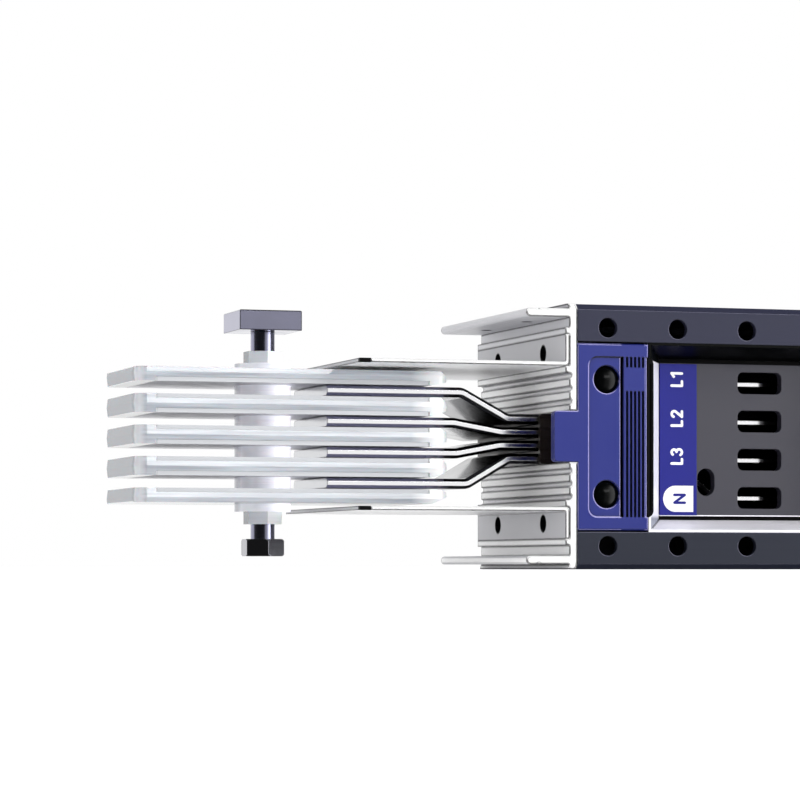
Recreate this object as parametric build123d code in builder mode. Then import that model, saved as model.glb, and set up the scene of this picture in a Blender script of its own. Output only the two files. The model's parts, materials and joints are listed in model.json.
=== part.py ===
from build123d import *
import os

os.makedirs("parts", exist_ok=True)

# Sandwich busway, joint end and plug-in outlet. X runs along the busway, Y into the casing
# from its front, Z up. The origin is the centre of the casing's underside. All sizes in mm.

# Casing
casing_length = 300.0
casing_height = 130.0
casing_depth = 132.0
casing_wall = 3.0
channel_flange = 22.0
channel_bevel = 2.7
channel_end_chamfer = 0.6
cover_gap = 0.3
lap_start = 12.0
lap_inside = 8.0
end_plate = 3.0
tab_height = 36.0
tab_length = 14.0

# Holes along the casing's two front rails
rail_hole_d = 9.7
rail_hole_inset = 11.5
rail_hole_first = 16.0
rail_hole_pitch = 37.0

# Countersunk screws of the covers and the end plate
small_screw_d = 4.0
small_head_d = 7.2
small_screw_clearance = 0.1
cover_screw_first = 34.0
cover_screw_pitch = 222.0

# Extruded end profiles
profile_wall = 4.15
profile_gap = 25.2
flange_reach = 26.5
flange_thickness = 4.2
lip_height = 2.5
lip_lean = 1.0
rib_height = 2.0
outer_rib_width = 3.2
inner_rib_width = 3.4
recess_to_flange = 8.3
groove_radius = 1.3
groove_depth = 1.15
groove_below_rib = 1.5
groove_pitch = 6.3
groove_count = 3
notch_from_tip = 6.5
notch_width = 1.6
tip_rounding = 0.49
leg_hole_d = 8.5
leg_hole_pitch = 68.0
flange_hole_d = 5.0
flange_hole_pitch = 61.0
flange_hole_from_tip = 12.9

# Joint sheets, folded from plate
sheet_thickness = 2.0
sheet_clearance = 1.85
sheet_reach = 111.0
sheet_bend_outer = 1.9
sheet_bend_inner = 0.4
pad_length = 5.4
pad_width = 3.0

# Conductor bars
bar_width = 60.0
bar_thickness = 5.0
bar_edge_bevel = 1.5
bar_bend_radius = 6.0
bar_reach = 117.0
bar_end_gap = 3.0
compact_pitch = 6.6
outlet_pitch = 19.3
bar_names = ("l1", "l2", "l3", "n")
fan_left_x = (-47.2, -51.4, -50.0, -44.6)
fan_right_x = (-23.3, -27.0, -27.3, -22.8)
outlet_offset = 9.0
outlet_flat_half = 18.0
outlet_rise_run = 24.0

# Bar holder and the support boards inside the casing
holder_reach = 7.3
holder_inside = 14.0
holder_side = 3.0
holder_radius = 1.2
holder_band_depth = 0.6
holder_band_height = 1.4
holder_band_spread = 0.8
bar_clearance = 0.2
support_thickness = 8.0
support_from_window = 15.0
support_from_bar_end = 14.0
support_side = 5.0
support_clearance = 0.5

# Joint pack: insulators with splice plates let into them, on one bolt
pack_left = 214.0
pack_right = 55.0
pack_width = 68.0
insulator_core = 4.9
splice_thickness = 2.1
joint_slot = 6.0
rim_length = 10.5
rim_corner = 6.0
mould_draft = 7.0
nose_length = 9.0
nose_height = 2.8
tail_chamfer = 0.7
splice_side = 0.8
splice_corner = 0.6
splice_gap = 0.15
boss_d = 28.0
boss_clearance = 0.3
outer_boss = 3.9
bolt_x = -141.5
bolt_d = 12.0
bolt_head = 31.5
bolt_head_height = 9.8
bolt_end_chamfer = 0.8
head_above_centre = 52.5
nut_flats = 19.0
nut_height = 8.5
nut_end_below_centre = 58.5
nut_chamfer = 0.9
sleeve_flats = 17.0
sleeve_length = 85.4
sleeve_clearance = 0.25
bolt_clearance = 0.3

# Plug-in outlet
window_width = 195.0
window_inset = 18.3
fit_gap = 0.1
bezel_width = 37.4
bezel_thickness = 10.0
bezel_chamfer = 0.5
bezel_gap = 0.9
tongue_reach = 12.2
tongue_thickness = 4.0
tongue_radius = 2.0
pocket_left = 6.0
pocket_right = 22.8
pocket_inset = 7.4
pocket_radius = 4.5
pocket_depth = 1.0
slot_groove = 1.3
slot_groove_depth = 3.0
grip_first = 25.5
grip_pitch = 2.1
grip_width = 1.0
grip_depth = 1.4
grip_count = 5
grip_break_above = 22.5
grip_break_height = 11.8
plug_d = 13.5
plug_x = 15.7
plug_pitch = 56.4
plug_clearance = 0.15
plug_face_depth = 0.6
plug_dome = 2.2
plug_shank_d = 6.0
plug_shank_length = 9.0
seal_width = 3.6
seal_radius = 3.2
seal_depth = 2.4
seal_set_back = 0.3
seal_groove = 1.2
seal_overlap = 1.0
seal_lead_width = 1.1
seal_lead_depth = 0.4
recess_depth = 22.0
funnel_side = 13.0
funnel_rise = 5.1
liner_wall = 1.2
hood_height = 8.6
housing_rim = 1.5
housing_depth = 27.0
panel_margin = 2.0
panel_face = 2.0
panel_side = 0.2
label_left = 0.2
label_width = 19.9
label_margin = 0.4
label_thickness = 0.5
contact_slot_width = 24.0
contact_slot_height = 11.0
contact_slot_radius = 3.0
guide_slot_width = 9.4
guide_slot_height = 13.8
guide_slot_left = 20.3
guide_slot_below = 21.2

# Derived places
end_x = -casing_length / 2
front_y = -casing_depth / 2
mid_z = casing_height / 2
mid_y = casing_depth / 2
body_length = casing_length - end_plate
near_corner = (end_x, front_y, 0)
plan_view = Plane(origin=near_corner)
front_view = Plane(origin=near_corner, x_dir=(1, 0, 0), z_dir=(0, -1, 0))
end_view = Plane(origin=near_corner, x_dir=(0, 1, 0), z_dir=(1, 0, 0))
mid_height = Plane.XY.offset(mid_z)
window_middle = Plane.YZ.offset(end_x + window_width / 2)


def finish(piece, name):
    """Label a finished piece and write its file."""
    piece.part.label = name
    export_step(piece.part, f"parts/{name}.step")


def block(x0, x1, y0, y1, z0, z1, mode=Mode.ADD):
    """A box between two corners, measured from the casing's near bottom corner at the joint."""
    with BuildSketch(front_view.offset(-y0)) as face:
        with Locations(((x0 + x1) / 2, (z0 + z1) / 2)):
            Rectangle(x1 - x0, z1 - z0)
    extrude(face.sketch, amount=y0 - y1, mode=mode)


# The bolt, its nut and the sleeve around its shaft
head_z = mid_z + head_above_centre
nut_z = mid_z - nut_end_below_centre
bolt_plane = Plane(origin=(end_x + bolt_x, 0, 0))

with BuildPart() as tee_bolt:
    with BuildSketch(bolt_plane.offset(head_z)):
        Rectangle(bolt_head, bolt_head)
    extrude(amount=bolt_head_height)
    with BuildSketch(bolt_plane.offset(nut_z)):
        Circle(bolt_d / 2)
    extrude(amount=head_z - nut_z)
    chamfer(tee_bolt.edges().filter_by(GeomType.CIRCLE).sort_by(Axis.Z)[0], bolt_end_chamfer)
    chamfer(tee_bolt.faces().sort_by(Axis.Z)[-1].edges(), bolt_end_chamfer / 2)
finish(tee_bolt, "tee_bolt")

with BuildPart() as joint_nut:
    with BuildSketch(bolt_plane.offset(nut_z)):
        Circle(nut_flats / 3 ** 0.5)
    extrude(amount=nut_height)
    chamfer(joint_nut.edges().filter_by(GeomType.CIRCLE), nut_chamfer)
    with BuildSketch(bolt_plane.offset(nut_z)):
        RegularPolygon(nut_flats / 2, 6, major_radius=False, rotation=30)
        Circle(bolt_d / 2 + fit_gap, mode=Mode.SUBTRACT)
    extrude(amount=nut_height, mode=Mode.INTERSECT)
finish(joint_nut, "joint_nut")

with BuildPart() as insulating_sleeve:
    with BuildSketch(bolt_plane.offset(mid_z - sleeve_length / 2)):
        RegularPolygon(sleeve_flats / 2, 6, major_radius=False, rotation=30)
        Circle(bolt_d / 2 + bolt_clearance, mode=Mode.SUBTRACT)
    extrude(amount=sleeve_length)
finish(insulating_sleeve, "insulating_sleeve")

# Insulator plates, numbered from the top, and the splice plates seated in them
slot_count = len(bar_names)
plate_pitch = insulator_core + 2 * splice_thickness + joint_slot
inner_boss = splice_thickness + joint_slot / 2
pack_near = mid_y - pack_width / 2
splice_left = -pack_left + rim_length
splice_right = -pack_right - rim_length


def drafted_outline(z):
    """The plate's outline, with draft up and down from the mould's parting line at height z."""
    with BuildPart() as body:
        with BuildSketch(plan_view.offset(z)) as outline:
            with Locations((-(pack_left + pack_right) / 2, mid_y)):
                RectangleRounded(pack_left - pack_right, pack_width, rim_corner)
        extrude(outline.sketch, amount=insulator_core / 2 + splice_thickness, taper=mould_draft)
        mirror(body.part, about=Plane.XY.offset(z))
    return body


def insulator(z, up, down):
    """One insulator at height z, with splice seats above (up) and below (down)."""
    top = insulator_core / 2 + (splice_thickness if up else 0)
    bottom = insulator_core / 2 + (splice_thickness if down else 0)
    tip = (top - bottom) / 2
    with BuildPart() as plate:
        with BuildSketch(front_view.offset(-pack_near)):
            with BuildLine():
                Polyline(
                    (-pack_left, z - bottom + tail_chamfer),
                    (-pack_left + tail_chamfer, z - bottom),
                    (-pack_right - nose_length, z - bottom),
                    (-pack_right, z + tip - bottom + nose_height),
                    (-pack_right, z + tip + top - nose_height),
                    (-pack_right - nose_length / 2, z + top),
                    (-pack_left + tail_chamfer, z + top),
                    (-pack_left, z + top - tail_chamfer),
                    close=True,
                )
            make_face()
        extrude(amount=-pack_width)
        for seat, side in ((up, 1), (down, -1)):
            if seat:
                face = z + side * insulator_core / 2
                low, high = sorted((face, face + side * splice_thickness))
                block(splice_left, splice_right, pack_near, pack_near + pack_width,
                      low, high, mode=Mode.SUBTRACT)
        add(drafted_outline(z).part, mode=Mode.INTERSECT)
        for seat, side in ((up, 1), (down, -1)):
            rise = inner_boss if seat else outer_boss
            with BuildSketch(bolt_plane.offset(z)):
                Circle(boss_d / 2)
            extrude(amount=side * (insulator_core / 2 + rise))
        with BuildSketch(bolt_plane.offset(z - plate_pitch)):
            RegularPolygon(sleeve_flats / 2 + sleeve_clearance, 6, major_radius=False,
                           rotation=30)
        extrude(amount=2 * plate_pitch, mode=Mode.SUBTRACT)
    return plate


def splice(z):
    """One splice plate with its underside at height z."""
    near = pack_near + splice_side
    with BuildPart() as plate:
        block(splice_left + splice_gap, splice_right - splice_gap, near,
              near + pack_width - 2 * splice_side, z, z + splice_thickness)
        fillet(plate.edges().filter_by(Axis.Z), splice_corner)
        with BuildSketch(bolt_plane.offset(z)):
            Circle(boss_d / 2 + boss_clearance)
        extrude(amount=splice_thickness, mode=Mode.SUBTRACT)
    return plate


splice_number = 0
for index in range(slot_count + 1):
    plate_z = mid_z + plate_pitch * (slot_count / 2 - index)
    has_upper, has_lower = index > 0, index < slot_count
    finish(insulator(plate_z, has_upper, has_lower), f"insulator_plate_{index + 1}")
    if has_upper:
        splice_number += 1
        finish(splice(plate_z + insulator_core / 2), f"splice_plate_{splice_number}")
    if has_lower:
        splice_number += 1
        finish(splice(plate_z - insulator_core / 2 - splice_thickness),
               f"splice_plate_{splice_number}")

# Conductor bars: fanned at the joint, close together in the casing, fanned at the outlet
bar_near = mid_y - bar_width / 2
outlet_x = window_width / 2 + outlet_offset
rise_start = outlet_x - outlet_flat_half - outlet_rise_run
fall_end = outlet_x + outlet_flat_half + outlet_rise_run
bar_end = body_length - bar_end_gap


def bar_level(index, pitch):
    """Height of a bar's middle when the bars lie a pitch apart."""
    return mid_z + pitch * ((slot_count - 1) / 2 - index)


for index, name in enumerate(bar_names):
    fan_z = bar_level(index, plate_pitch)
    compact_z = bar_level(index, compact_pitch)
    outlet_z = bar_level(index, outlet_pitch)
    with BuildPart() as busbar:
        with BuildLine(front_view.offset(-mid_y)) as route:
            FilletPolyline(
                (-bar_reach, fan_z),
                (fan_left_x[index], fan_z),
                (fan_right_x[index], compact_z),
                (rise_start, compact_z),
                (outlet_x - outlet_flat_half, outlet_z),
                (outlet_x + outlet_flat_half, outlet_z),
                (fall_end, compact_z),
                (bar_end, compact_z),
                radius=bar_bend_radius,
            )
        with BuildSketch(Plane(origin=route.line @ 0, x_dir=(0, 1, 0), z_dir=(1, 0, 0))) as section:
            Rectangle(bar_width, bar_thickness)
            chamfer(section.vertices(), bar_edge_bevel)
        sweep(path=route.line)
    finish(busbar, f"busbar_{name}")


def cut_bar_slots(x0, x1):
    """Four slots that the close-set bars pass through."""
    with BuildSketch(end_view.offset(x0)) as slots:
        for index in range(slot_count):
            with Locations((mid_y, bar_level(index, compact_pitch))):
                Rectangle(bar_width + 2 * bar_clearance, bar_thickness + 2 * bar_clearance)
    extrude(slots.sketch, amount=x1 - x0, mode=Mode.SUBTRACT)


gap_fill = profile_gap - 2 * fit_gap
holder_near = bar_near - holder_side
with BuildPart() as bar_holder:
    block(-holder_reach, holder_inside, holder_near, casing_depth - casing_wall,
          mid_z - gap_fill / 2, mid_z + gap_fill / 2)
    fillet(bar_holder.edges().filter_by(Axis.Y).group_by(Axis.X)[0], holder_radius)
    cut_bar_slots(-holder_reach, holder_inside)
    for index in range(slot_count + 1):
        band_z = mid_z + compact_pitch * (slot_count / 2 - index) * holder_band_spread
        block(-holder_reach, holder_inside, holder_near, holder_near + holder_band_depth,
              band_z - holder_band_height / 2, band_z + holder_band_height / 2,
              mode=Mode.SUBTRACT)
finish(bar_holder, "bar_holder")

support_x = (window_width + support_from_window, bar_end - support_from_bar_end)
support_near = bar_near - support_side
lap_end = channel_flange + cover_gap + lap_inside + support_clearance
lap_face = 2 * casing_wall + support_clearance
for number, x in enumerate(support_x, start=1):
    with BuildPart() as support:
        block(x, x + support_thickness, support_near, casing_depth - support_near,
              lap_face, casing_height - lap_face)
        block(x, x + support_thickness, lap_end, casing_depth - lap_end,
              casing_wall, casing_height - casing_wall)
        cut_bar_slots(x, x + support_thickness)
    finish(support, f"bar_support_{number}")

# End profiles: one section, extruded across the casing and mirrored about its mid-height
flange_top = casing_height - lip_height
flange_low = flange_top - flange_thickness
outer_rib_low = flange_low - recess_to_flange
pack_top = mid_z + slot_count * plate_pitch / 2 + insulator_core / 2
inner_rib_high = pack_top + sheet_clearance
inner_rib_low = inner_rib_high - inner_rib_width
rib_x = -profile_wall - rib_height
wall_low = mid_z + profile_gap / 2
leg_hole_z = (outer_rib_low + inner_rib_high) / 2


def cut_leg_holes():
    """The two holes through the wall and the sheet's leg, seen along the busway."""
    with BuildSketch(end_view.offset(rib_x)) as holes:
        with Locations((mid_y, leg_hole_z)):
            with GridLocations(leg_hole_pitch, 0, 2, 1):
                Circle(leg_hole_d / 2)
    extrude(holes.sketch, amount=-rib_x, mode=Mode.SUBTRACT)


with BuildPart() as upper_end_profile:
    with BuildSketch(front_view):
        with BuildLine():
            Polyline(
                (0, wall_low),
                (0, flange_top),
                (-lip_lean, casing_height),
                (-profile_wall - lip_lean, casing_height),
                (-profile_wall, flange_top),
                (-flange_reach, flange_top),
                (-flange_reach, flange_low),
                (-profile_wall, flange_low),
                (-profile_wall, outer_rib_low + outer_rib_width),
                (rib_x, outer_rib_low + outer_rib_width),
                (rib_x, outer_rib_low),
                (-profile_wall, outer_rib_low),
                (-profile_wall, inner_rib_high),
                (rib_x, inner_rib_high),
                (rib_x, inner_rib_low),
                (-profile_wall, inner_rib_low),
                (-profile_wall, wall_low),
                close=True,
            )
        make_face()
        for number in range(groove_count):
            groove_z = inner_rib_low - groove_below_rib - number * groove_pitch
            with Locations((-profile_wall + groove_depth - groove_radius, groove_z)):
                Circle(groove_radius, mode=Mode.SUBTRACT)
        with Locations((-flange_reach + notch_from_tip, flange_top)):
            Rectangle(notch_width / 2 ** 0.5, notch_width / 2 ** 0.5, rotation=45,
                      mode=Mode.SUBTRACT)
    extrude(amount=-casing_depth)
    tip_edges = upper_end_profile.edges().filter_by(Axis.Y).group_by(Axis.X)[0]
    fillet(tip_edges, flange_thickness * tip_rounding)
    with BuildSketch(plan_view.offset(flange_low)):
        with Locations((-flange_reach + flange_hole_from_tip, mid_y)):
            with GridLocations(0, flange_hole_pitch, 1, 2):
                Circle(flange_hole_d / 2)
    extrude(amount=flange_thickness, mode=Mode.SUBTRACT)
    cut_leg_holes()
finish(upper_end_profile, "upper_end_profile")

with BuildPart() as lower_end_profile:
    mirror(upper_end_profile.part, about=mid_height)
finish(lower_end_profile, "lower_end_profile")

# Joint sheets: the leg lies in the profile's recess, the long side reaches over the joint
with BuildPart() as upper_joint_sheet:
    with BuildSketch(front_view):
        with BuildLine():
            Polyline(
                (-sheet_reach, inner_rib_high),
                (-profile_wall, inner_rib_high),
                (-profile_wall, outer_rib_low),
                (rib_x, outer_rib_low),
                (rib_x, inner_rib_high + sheet_thickness),
                (-sheet_reach, inner_rib_high + sheet_thickness),
                close=True,
            )
        make_face()
    extrude(amount=-casing_depth)
    for x, z, radius in (
        (rib_x, inner_rib_high + sheet_thickness, sheet_bend_inner),
        (-profile_wall, inner_rib_high, sheet_bend_outer),
    ):
        bend = upper_joint_sheet.edges().filter_by(Axis.Y).sort_by_distance((end_x + x, 0, z))[0]
        fillet(bend, radius)
    block(-sheet_reach, -sheet_reach + pad_length, 0, pad_width, inner_rib_high,
          inner_rib_high + sheet_thickness, mode=Mode.SUBTRACT)
    cut_leg_holes()
finish(upper_joint_sheet, "upper_joint_sheet")

with BuildPart() as lower_joint_sheet:
    mirror(upper_joint_sheet.part, about=mid_height)
finish(lower_joint_sheet, "lower_joint_sheet")

with BuildPart() as upper_sheet_pad:
    block(-sheet_reach, -sheet_reach + pad_length, 0, pad_width, inner_rib_high,
          inner_rib_high + sheet_thickness)
finish(upper_sheet_pad, "upper_sheet_pad")

with BuildPart() as lower_sheet_pad:
    mirror(upper_sheet_pad.part, about=mid_height)
finish(lower_sheet_pad, "lower_sheet_pad")

# Casing: two side channels, two covers lapped under their flanges, and an end plate
window_low = window_inset
window_high = casing_height - window_inset
rail_hole_count = int((body_length - rail_hole_first) // rail_hole_pitch) + 1
cover_screw_count = int((body_length - cover_screw_first) // cover_screw_pitch) + 1
cover_screw_y = (lap_start + channel_flange) / 2
tab_hole_x = body_length - tab_length / 2


def channel():
    """One side channel, modelled on the casing's front."""
    with BuildPart() as side:
        with BuildSketch(end_view):
            with BuildLine():
                Polyline(
                    (channel_bevel, 0),
                    (channel_flange, 0),
                    (channel_flange, casing_wall),
                    (casing_wall, casing_wall),
                    (casing_wall, casing_height - casing_wall),
                    (channel_flange, casing_height - casing_wall),
                    (channel_flange, casing_height),
                    (channel_bevel, casing_height),
                    (0, casing_height - channel_bevel),
                    (0, channel_bevel),
                    close=True,
                )
            make_face()
        extrude(amount=body_length)
        chamfer(side.faces().sort_by(Axis.X)[0].edges().sort_by(Axis.Y)[:3], channel_end_chamfer)
        for plane in (plan_view.offset(casing_height), plan_view.rotated((180, 0, 0))):
            flip = 1 if plane.z_dir.Z > 0 else -1
            spots = [
                (cover_screw_first + n * cover_screw_pitch, flip * cover_screw_y)
                for n in range(cover_screw_count)
            ]
            with Locations(plane):
                with Locations(*spots):
                    CounterSinkHole(
                        small_screw_d / 2 + small_screw_clearance,
                        small_head_d / 2 + small_screw_clearance,
                        depth=casing_wall,
                        counter_sink_angle=90,
                    )
        with Locations(front_view):
            with Locations((tab_hole_x, mid_z)):
                CounterSinkHole(
                    small_screw_d / 2 + small_screw_clearance,
                    small_head_d / 2 + small_screw_clearance,
                    depth=casing_wall,
                    counter_sink_angle=90,
                )
    return side


with BuildPart() as front_side_channel:
    add(channel().part)
    block(0, window_width, 0, casing_wall, window_low, window_high, mode=Mode.SUBTRACT)
    with BuildSketch(front_view):
        for n in range(rail_hole_count):
            for z in (rail_hole_inset, casing_height - rail_hole_inset):
                with Locations((rail_hole_first + n * rail_hole_pitch, z)):
                    Circle(rail_hole_d / 2)
    extrude(amount=-casing_wall, mode=Mode.SUBTRACT)
finish(front_side_channel, "front_side_channel")

with BuildPart() as rear_side_channel:
    mirror(channel().part, about=Plane.XZ)
finish(rear_side_channel, "rear_side_channel")

with BuildPart() as top_cover:
    cover_near = channel_flange + cover_gap
    block(0, body_length, cover_near, casing_depth - cover_near,
          casing_height - casing_wall, casing_height)
    lap_width = cover_near + lap_inside - lap_start
    for near in (lap_start, casing_depth - lap_start - lap_width):
        block(0, body_length, near, near + lap_width,
              casing_height - 2 * casing_wall, casing_height - casing_wall)
    with BuildSketch(plan_view.offset(casing_height - 2 * casing_wall)):
        for n in range(cover_screw_count):
            for y in (cover_screw_y, casing_depth - cover_screw_y):
                with Locations((cover_screw_first + n * cover_screw_pitch, y)):
                    Circle(small_screw_d / 2 + small_screw_clearance)
    extrude(amount=casing_wall, mode=Mode.SUBTRACT)
finish(top_cover, "top_cover")

with BuildPart() as bottom_cover:
    mirror(top_cover.part, about=mid_height)
finish(bottom_cover, "bottom_cover")


def small_screw(plane):
    """A countersunk screw whose flat head lies in the plane and whose tip points below it."""
    head_cone = (small_head_d - small_screw_d) / 2
    with BuildSketch(Plane(origin=plane.origin, x_dir=plane.x_dir, z_dir=plane.y_dir)) as half:
        with BuildLine():
            Polyline(
                (0, 0),
                (0, 2 * casing_wall),
                (small_screw_d / 2, 2 * casing_wall),
                (small_screw_d / 2, head_cone),
                (small_head_d / 2, 0),
                close=True,
            )
        make_face()
    revolve(half.sketch, axis=Axis(plane.origin, plane.z_dir))


with BuildPart() as cover_screws:
    for n in range(cover_screw_count):
        x = end_x + cover_screw_first + n * cover_screw_pitch
        for y in (front_y + cover_screw_y, -front_y - cover_screw_y):
            small_screw(Plane(origin=(x, y, casing_height), z_dir=(0, 0, 1)))
            small_screw(Plane(origin=(x, y, 0), z_dir=(0, 0, -1)))
finish(cover_screws, "cover_screws")

with BuildPart() as end_cover:
    with BuildSketch(end_view.offset(body_length)):
        with Locations((mid_y, mid_z)):
            Rectangle(casing_depth, casing_height)
    extrude(amount=end_plate)
    chamfer(end_cover.edges().filter_by(Axis.X), channel_bevel)
    for near in (casing_wall, casing_depth - 2 * casing_wall):
        block(body_length - tab_length, body_length, near, near + casing_wall,
              mid_z - tab_height / 2, mid_z + tab_height / 2)
    with BuildSketch(front_view):
        with Locations((tab_hole_x, mid_z)):
            Circle(small_screw_d / 2 + small_screw_clearance)
    extrude(amount=-casing_depth, mode=Mode.SUBTRACT)
finish(end_cover, "end_cover")

with BuildPart() as end_cover_screws:
    small_screw(Plane(origin=(end_x + tab_hole_x, front_y, mid_z), z_dir=(0, -1, 0)))
    small_screw(Plane(origin=(end_x + tab_hole_x, -front_y, mid_z), z_dir=(0, 1, 0)))
finish(end_cover_screws, "end_cover_screws")

# Plug-in outlet
pocket_low = window_low + pocket_inset
pocket_high = window_high - pocket_inset
seal_left = bezel_width - seal_width / 2 + seal_overlap
grip_break_low = mid_z + grip_break_above
grip_break_high = grip_break_low + grip_break_height


def cut_seal_pocket():
    """Room for the outlet seal, taken out of the bezel and the liner beside it."""
    block(seal_left - fit_gap, seal_left + seal_width + fit_gap, 0, seal_depth + fit_gap,
          pocket_low - fit_gap, pocket_high + fit_gap, mode=Mode.SUBTRACT)


def bezel(tongue):
    """A bezel, modelled at the joint end; with the tongue that fills the profiles' gap."""
    with BuildPart() as body:
        block(fit_gap, bezel_width, 0, bezel_thickness, window_low + bezel_gap,
              window_high - bezel_gap)
        chamfer(body.faces().sort_by(Axis.Y)[0].edges(), bezel_chamfer)
        if tongue:
            block(0, pocket_left, 0, bezel_thickness, mid_z - gap_fill / 2,
                  mid_z + gap_fill / 2)
            block(-tongue_reach, 0, 0, tongue_thickness, mid_z - gap_fill / 2,
                  mid_z + gap_fill / 2)
            fillet(body.edges().filter_by(Axis.Y).group_by(Axis.X)[0], tongue_radius)
        with BuildSketch(front_view) as pocket:
            with Locations(((pocket_left + pocket_right) / 2, mid_z)):
                Rectangle(pocket_right - pocket_left, pocket_high - pocket_low)
            fillet(pocket.vertices().group_by(Axis.X)[0], pocket_radius)
        extrude(amount=-pocket_depth, mode=Mode.SUBTRACT)
        block(pocket_right, pocket_right + slot_groove, 0, slot_groove_depth, pocket_low,
              pocket_high, mode=Mode.SUBTRACT)
        for n in range(grip_count):
            left = grip_first + n * grip_pitch
            for low, high in ((pocket_low, grip_break_low), (grip_break_high, pocket_high)):
                block(left, left + grip_width, 0, grip_depth, low, high, mode=Mode.SUBTRACT)
        cut_seal_pocket()
        with BuildSketch(plan_view.offset(pocket_low)):
            with BuildLine():
                Polyline(
                    (seal_left - fit_gap - seal_lead_width, 0),
                    (seal_left - fit_gap, 0),
                    (seal_left - fit_gap, seal_lead_depth),
                    close=True,
                )
            make_face()
        extrude(amount=pocket_high - pocket_low, mode=Mode.SUBTRACT)
        with BuildSketch(front_view):
            with Locations((plug_x, mid_z)):
                with GridLocations(0, plug_pitch, 1, 2):
                    Circle(plug_d / 2 + plug_clearance)
        extrude(amount=-bezel_thickness, mode=Mode.SUBTRACT)
    return body


left_bezel = bezel(tongue=True)
finish(left_bezel, "left_bezel")

with BuildPart() as right_bezel:
    mirror(bezel(tongue=False).part, about=window_middle)
finish(right_bezel, "right_bezel")

with BuildPart() as bezel_screws:
    for x in (plug_x, window_width - plug_x):
        for z in (mid_z - plug_pitch / 2, mid_z + plug_pitch / 2):
            with BuildSketch(Plane(origin=(end_x + x, front_y, z), x_dir=(1, 0, 0),
                                   z_dir=(0, 0, 1))):
                with BuildLine():
                    edge_y = plug_face_depth + plug_dome
                    ThreePointArc(
                        (0, plug_face_depth),
                        (plug_d / 4, plug_face_depth + plug_dome / 4),
                        (plug_d / 2, edge_y),
                    )
                    Polyline(
                        (plug_d / 2, edge_y),
                        (plug_d / 2, bezel_thickness),
                        (plug_shank_d / 2, bezel_thickness),
                        (plug_shank_d / 2, bezel_thickness + plug_shank_length),
                        (0, bezel_thickness + plug_shank_length),
                        (0, plug_face_depth),
                    )
                make_face()
            revolve(axis=Axis((end_x + x, 0, z), (0, 1, 0)))
finish(bezel_screws, "bezel_screws")

with BuildPart() as left_outlet_seal:
    block(seal_left, seal_left + seal_width, seal_set_back, seal_depth, pocket_low, pocket_high)
    fillet(left_outlet_seal.edges().filter_by(Axis.Y).group_by(Axis.X)[-1], seal_radius)
    groove_mid = seal_left + seal_width / 2
    block(groove_mid - seal_groove / 2, groove_mid + seal_groove / 2, seal_set_back,
          seal_set_back + seal_groove / 2, pocket_low + seal_radius, pocket_high - seal_radius,
          mode=Mode.SUBTRACT)
finish(left_outlet_seal, "left_outlet_seal")

with BuildPart() as right_outlet_seal:
    mirror(left_outlet_seal.part, about=window_middle)
finish(right_outlet_seal, "right_outlet_seal")

window_mid_x = window_width / 2
front_width = window_width - 2 * bezel_width - 2 * fit_gap
front_height = window_high - window_low - 2 * fit_gap
inner_width = front_width - 2 * funnel_side
inner_height = front_height - 2 * funnel_rise


def funnel(grow, mode):
    """The recess's tapering shape, grown on every side by a wall thickness."""
    with BuildSketch(front_view) as mouth:
        with Locations((window_mid_x, mid_z)):
            Rectangle(front_width + grow, front_height + grow)
    with BuildSketch(front_view.offset(-recess_depth)) as inner_end:
        with Locations((window_mid_x, mid_z)):
            Rectangle(inner_width + grow, inner_height + grow)
    loft([mouth.sketch, inner_end.sketch], mode=mode)


hood_low = window_high - hood_height
with BuildPart() as liner:
    funnel(0, Mode.ADD)
    funnel(-2 * liner_wall, Mode.SUBTRACT)
    cut_seal_pocket()
    block(window_width - seal_left - seal_width - fit_gap, window_width - seal_left + fit_gap,
          0, seal_depth + fit_gap, pocket_low - fit_gap, pocket_high + fit_gap,
          mode=Mode.SUBTRACT)

with BuildPart() as upper_window_liner:
    add(liner.part)
    split(bisect_by=Plane.XY.offset(hood_low), keep=Keep.TOP)
finish(upper_window_liner, "upper_window_liner")

with BuildPart() as lower_window_liner:
    add(liner.part)
    split(bisect_by=Plane.XY.offset(hood_low), keep=Keep.BOTTOM)
finish(lower_window_liner, "lower_window_liner")

face_width = inner_width - 2 * liner_wall - 2 * panel_side
face_height = inner_height - 2 * liner_wall - 2 * panel_margin
block_half_width = inner_width / 2 + panel_margin
block_half_height = inner_height / 2 + panel_margin

with BuildPart() as outlet_housing:
    block(fit_gap, window_width - fit_gap, casing_wall, housing_depth,
          window_low - housing_rim, window_high + housing_rim)
    for left in (0, window_width - bezel_width - fit_gap):
        block(left, left + bezel_width + fit_gap, 0, bezel_thickness, window_low, window_high,
              mode=Mode.SUBTRACT)
    funnel(2 * fit_gap, Mode.SUBTRACT)
    block(window_mid_x - block_half_width - fit_gap, window_mid_x + block_half_width + fit_gap,
          recess_depth, housing_depth, mid_z - block_half_height - fit_gap,
          mid_z + block_half_height + fit_gap, mode=Mode.SUBTRACT)
    for x in (plug_x, window_width - plug_x):
        with BuildSketch(front_view.offset(-bezel_thickness)):
            with Locations((x, mid_z)):
                with GridLocations(0, plug_pitch, 1, 2):
                    Circle(plug_shank_d / 2 + plug_clearance)
        extrude(amount=-plug_shank_length - fit_gap, mode=Mode.SUBTRACT)
finish(outlet_housing, "outlet_housing")

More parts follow.
